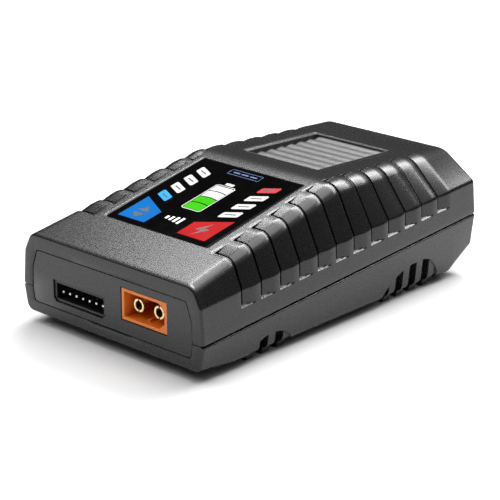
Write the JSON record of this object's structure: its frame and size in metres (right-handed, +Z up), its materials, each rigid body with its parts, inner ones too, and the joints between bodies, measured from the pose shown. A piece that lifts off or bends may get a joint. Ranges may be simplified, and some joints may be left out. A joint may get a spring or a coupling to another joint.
{
  "type": "balance battery charger",
  "caption": "Wedge-topped table charger for model batteries with a balance port, an output connector, a lit control panel, buttons and a louvred fan outlet.",
  "frame": {"origin": "centre of the footprint at the level of the feet", "axes": "+Y runs from the port end to the mains end, +Z is up, +X is to the right as seen from the port end"},
  "size_m": [0.066, 0.11, 0.0365],
  "materials": {
    "case_plastic": "moulded dark grey, fine spark texture",
    "louvre_plastic": "moulded dark grey, satin",
    "panel_gloss": "polished black sheet",
    "button_blue": "printed blue film",
    "button_red": "printed red film",
    "light_blue": "lit light-blue light pipe",
    "light_red": "lit red light pipe",
    "light_green": "lit green light pipe",
    "light_white": "milky white light pipe",
    "black_plastic": "moulded black",
    "orange_nylon": "moulded orange nylon",
    "gold": "gold-plated, polished",
    "tin": "tin-plated",
    "screw_steel": "zinc-plated",
    "screw_black": "black-oxide",
    "board_green": "solder mask over glass laminate",
    "paper_sheet": "insulating film",
    "cable_film": "flat cable film",
    "socket_plastic": "moulded ivory",
    "film_capacitor": "moulded yellow box",
    "ferrite": "sintered ferrite",
    "iron_powder": "painted powder core",
    "copper_wire": "enamelled copper",
    "winding_tape": "polyester tape",
    "capacitor_sleeve": "shrunk sleeve",
    "bare_aluminium": "extruded",
    "fuse_glass": "clear glass",
    "bronze": "sintered bronze",
    "shaft_steel": "ground steel",
    "lead_red": "wire insulation",
    "lamp_yellow": "lamp encapsulation"
  },
  "bodies": {
    "case": {"upper_shell": "case_plastic", "lower_shell": "case_plastic", "front_plate": "case_plastic", "rear_plate": "case_plastic", "vent_grille": "louvre_plastic", "display_overlay": "panel_gloss", "mode_switch": "tin", "current_switch": "tin", "type_light_lit": "light_blue", "type_lights": "light_white", "current_light_lit": "light_red", "current_lights": "light_white", "level_lights_lit": "light_green", "level_lights": "light_white", "display_board": "board_green", "indicator_leds": "lamp_yellow", "display_screws": "screw_steel", "ribbon_cable": "cable_film", "ribbon_sockets": "socket_plastic", "main_board": "board_green", "board_screws": "screw_steel", "balance_housing": "black_plastic", "balance_pins": "tin", "output_housing": "orange_nylon", "output_pins": "gold", "inlet_housing": "black_plastic", "inlet_pins": "tin", "fuse_tube": "fuse_glass", "fuse_caps": "tin", "filter_capacitor": "film_capacitor", "choke_core": "ferrite", "choke_winding": "copper_wire", "bridge_rectifier": "black_plastic", "bulk_capacitor": "capacitor_sleeve", "transformer_core": "ferrite", "transformer_bobbin": "black_plastic", "transformer_winding": "winding_tape", "heat_sink": "bare_aluminium", "power_transistors": "black_plastic", "transistor_screws": "screw_steel", "output_capacitors": "capacitor_sleeve", "inductor_core": "iron_powder", "inductor_winding": "copper_wire", "microcontroller": "black_plastic", "driver_chips": "black_plastic", "fan_frame": "black_plastic", "fan_bearing": "bronze", "fan_stator": "copper_wire", "fan_screws": "screw_steel", "fan_lead": "lead_red", "fan_connector": "socket_plastic", "case_screws": "screw_black", "insulation_sheet": "paper_sheet"},
    "mode_key": {"mode_button": "button_blue", "mode_plunger": "black_plastic"},
    "current_key": {"current_button": "button_red", "current_plunger": "black_plastic"},
    "fan_impeller": {"fan_rotor": "black_plastic", "fan_shaft": "shaft_steel"}
  },
  "joints": [
    {"name": "mode_key_press", "type": "slide", "parent": "case", "child": "mode_key", "axis": [0, 0.1978, -0.9803], "range_m": [0, 0.00035], "stiffness_N_per_m": 800, "springref_m": -0.001},
    {"name": "current_key_press", "type": "slide", "parent": "case", "child": "current_key", "axis": [0, 0.1978, -0.9803], "range_m": [0, 0.00035], "stiffness_N_per_m": 800, "springref_m": -0.001},
    {"name": "fan_spin", "type": "hinge", "parent": "case", "child": "fan_impeller", "pos_m": [0, 0.02421, 0.02834], "axis": [0, 0.0438, 0.999], "continuous": true}
  ]
}
